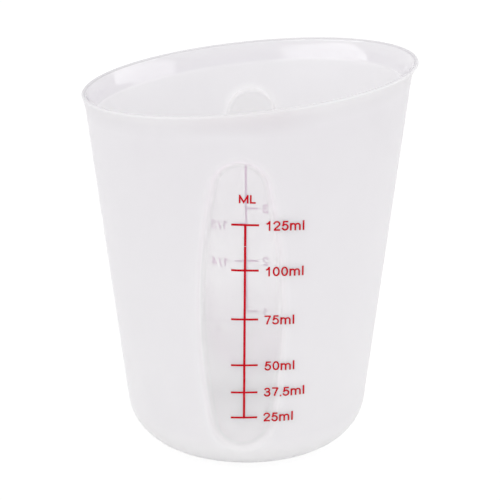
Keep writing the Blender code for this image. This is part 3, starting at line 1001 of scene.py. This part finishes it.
def make_ink(finish):
    """Printed ink: dense red, thinner and duller in spots, and painted paler and pinker, as painted light,
    where it is seen from under it through silicone.
    """
    nodes = MaterialNodes("red_ink", finish)
    thin = nodes.rise(nodes.noise(*SPOT_NOISE), *SPOT_SPAN)
    under = nodes.rise(nodes.attribute("under"), UNDER_SHARE, 1.0)
    nodes.set("Base Color", nodes.blend(under, nodes.blend(thin, "ink", "ink_thin"), "ink_under_painted_light"))
    nodes.set("Roughness", nodes.between(thin, finish.ink_roughness, finish.ink_roughness + SPOT_DRIFT))
    nodes.set("Specular IOR Level", finish.ink_gloss)
    nodes.set("Normal", nodes.bump(nodes.noise(*INK_NOISE), INK_HEIGHT))
    return nodes.material


class MEASURE_OT_body(Operator):
    """Makes the cup's body, one closed surface with its windows and lip"""

    bl_idname = "measure.body"
    bl_label = "Cup body"

    def execute(self, context):
        wall = Wall(context.scene.cup_sizes)
        silicone = make_silicone(context.scene.cup_finish, wall.sizes.rim_height)
        body = new_object("silicone_body", make_body_mesh(wall), silicone)
        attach(body, BODY)
        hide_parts(CUP_NODE)
        return {"FINISHED"}


# Each tick's height, and whether it runs to the left and to the right of the line, seen from outside
MILLILITRE_TICKS = (
    (0.01368, True, True),
    (0.01963, True, True),
    (0.02599, True, True),
    (0.03650, True, True),
    (0.04744, True, True),
    (0.05734, True, True),
)
OUNCE_AND_CUP_TICKS = (
    (0.01803, True, False),
    (0.03008, True, True),
    (0.03890, False, True),
    (0.04245, True, False),
    (0.05450, True, True),
)
# Each word with where it starts, its middle's height, and the side that it is aligned by
MILLILITRE_WORDS = (
    ("25ml", 0.00400, 0.01363, "LEFT"),
    ("37.5ml", 0.00410, 0.01956, "LEFT"),
    ("50ml", 0.00415, 0.02570, "LEFT"),
    ("75ml", 0.00396, 0.03629, "LEFT"),
    ("100ml", 0.00415, 0.04719, "LEFT"),
    ("125ml", 0.00412, 0.05720, "LEFT"),
    ("ML", -0.0013, 0.06285, "LEFT"),
)
OUNCE_AND_CUP_WORDS = (
    ("1", -0.0038, 0.01803, "RIGHT"),
    ("2", -0.0038, 0.03008, "RIGHT"),
    ("3", -0.0038, 0.04245, "RIGHT"),
    ("4", -0.0038, 0.05450, "RIGHT"),
    ("OZ", -0.0020, 0.05950, "RIGHT"),
    ("1/4", 0.0043, 0.03008, "LEFT"),
    ("1/3", 0.0044, 0.03890, "LEFT"),
    ("1/2", 0.0045, 0.05450, "LEFT"),
    ("CUP", 0.0020, 0.05950, "LEFT"),
)
FRONT_BREAKS = (0.0527,)  # where the printed line skips
FRONT_SHIFT = 0.0007
BACK_SHIFT = 0.0011


class MEASURE_OT_scales(Operator):
    """Prints the millilitre scale on the front window and the ounce and cup scale on the back one"""

    bl_idname = "measure.scales"
    bl_label = "Printed scales"

    def execute(self, context):
        wall = Wall(context.scene.cup_sizes)
        prints = context.scene.print_sizes
        ink = make_ink(context.scene.cup_finish)
        for name, ticks, words, breaks, shift, facing in (
            ("front_scale", MILLILITRE_TICKS, MILLILITRE_WORDS, FRONT_BREAKS, FRONT_SHIFT, 0.0),
            ("back_scale", OUNCE_AND_CUP_TICKS, OUNCE_AND_CUP_WORDS, (), BACK_SHIFT, math.pi),
        ):
            scale = make_scale(name, wall, prints, ticks, words, breaks, shift, facing, ink)
            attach(scale, BODY)
        return {"FINISHED"}


def make_floor(stage):
    """A flat square, white to the camera, in gloss and through silicone, with part of the cup's shadow."""
    half = stage.floor_half_size
    corners = np.array([[-half, -half, 0.0], [half, -half, 0.0], [half, half, 0.0], [-half, half, 0.0]])
    nodes = MaterialNodes("studio_floor", stage)
    nodes.set("Base Color", nodes.colour("floor_colour"))
    nodes.set("Roughness", FLOOR_ROUGHNESS)
    nodes.set("Specular IOR Level", 0.0)
    white = nodes.times(nodes.seen(), 1 - stage.floor_shade)
    glow = nodes.new("Emission", {"Strength": stage.floor_glow})
    mix = nodes.new("MixShader", {0: white, 1: nodes.shader.outputs[0], 2: glow.outputs[0]})
    nodes.feed(nodes.tree.nodes["Material Output"].inputs["Surface"], mix.outputs[0])
    floor = new_object("studio_floor", mesh_from("studio_floor", corners, [[0, 1, 2, 3]]), nodes.material)


def make_world(stage):
    """Even light from all round, and plain white where it is seen."""
    world = bpy.data.worlds.new("studio")
    world.use_nodes = True
    nodes = Nodes(world.node_tree)
    background = nodes.tree.nodes["Background"]
    background.inputs["Color"].default_value = (1.0, 1.0, 1.0, 1.0)
    nodes.feed(background.inputs["Strength"], nodes.between(nodes.seen(), stage.room_level, 1.0))
    bpy.context.scene.world = world


def make_softbox(name, level, distance, azimuth, half_turn, low, high):
    """An upright softbox that faces the cup, between two elevations at its middle.

    Its level is its radiance, which is its power over four times its area.
    """
    bottom, top = (distance * math.tan(math.radians(elevation)) for elevation in (low, high))
    light = bpy.data.lights.new(name, "AREA")
    light.shape = "RECTANGLE"
    light.size = 2 * distance * math.tan(math.radians(half_turn))
    light.size_y = top - bottom
    light.energy = 4 * level * light.size * light.size_y
    made = new_object(name, light)
    turn_to = math.radians(azimuth)
    away = Vector((math.sin(turn_to), -math.cos(turn_to), 0.0))
    stand = away * distance + Vector((0.0, 0.0, (bottom + top) / 2))
    made.matrix_world = Matrix.Translation(stand) @ away.to_track_quat("Z", "Y").to_matrix().to_4x4()
    made.visible_camera = False
    made.visible_diffuse = False


def make_camera(stage):
    """The camera, which looks down at the cup from in front, turned a little round it."""
    camera = bpy.data.cameras.new("camera")
    camera.lens = stage.lens
    camera.sensor_width = SENSOR_WIDTH
    made = new_object("camera", camera)
    turned = Matrix.Rotation(stage.camera_turn, 4, "Z")
    rise, distance = stage.camera_rise, stage.camera_distance
    back, up = distance * math.cos(rise), stage.camera_aim + distance * math.sin(rise)
    stand = turned @ Vector((stage.camera_shift, -back, up))
    look = turned @ Vector((0.0, math.cos(rise), -math.sin(rise)))
    made.matrix_world = Matrix.Translation(stand) @ look.to_track_quat("-Z", "Y").to_matrix().to_4x4()
    bpy.context.scene.camera = made


class MEASURE_OT_stage(Operator):
    """Sets up the white floor, the even light, the two softboxes and the camera"""

    bl_idname = "measure.stage"
    bl_label = "Studio"

    def execute(self, context):
        stage = context.scene.stage_settings
        make_floor(stage)
        make_world(stage)
        for (name, *angles), level in zip(SOFTBOXES, (stage.right_level, stage.left_level)):
            make_softbox(name, level, stage.box_distance, *angles)
        make_camera(stage)
        context.scene.view_settings.view_transform = "Standard"
        return {"FINISHED"}


class MEASURE_PT_cup(Panel):
    """Lists the cup's settings and its operators"""

    bl_label = "Silicone measuring cup"
    bl_space_type = "VIEW_3D"
    bl_region_type = "UI"
    bl_category = "Cup"

    def draw(self, context):
        for name, group in SETTINGS:
            column = self.layout.column(align=True)
            for setting in group.__annotations__:
                column.prop(getattr(context.scene, name), setting)
        for operator in OPERATORS:
            self.layout.operator(operator.bl_idname)


SETTINGS = (
    ("cup_sizes", CupSizes),
    ("print_sizes", PrintSizes),
    ("cup_finish", CupFinish),
    ("stage_settings", StageSettings),
)
OPERATORS = (MEASURE_OT_body, MEASURE_OT_scales, MEASURE_OT_stage)
CLASSES = (*OPERATORS, MEASURE_PT_cup)


def register():
    for name, group in SETTINGS:
        bpy.utils.register_class(group)
        setattr(bpy.types.Scene, name, PointerProperty(type=group))
    for made in CLASSES:
        bpy.utils.register_class(made)


def unregister():
    for made in reversed(CLASSES):
        bpy.utils.unregister_class(made)
    for name, group in reversed(SETTINGS):
        delattr(bpy.types.Scene, name)
        bpy.utils.unregister_class(group)


def main():
    register()
    bpy.ops.measure.body()
    bpy.ops.measure.scales()
    bpy.ops.measure.stage()


def plain(box):
    return [list(corner) for corner in box]


if __name__ == "__main__":
    main()
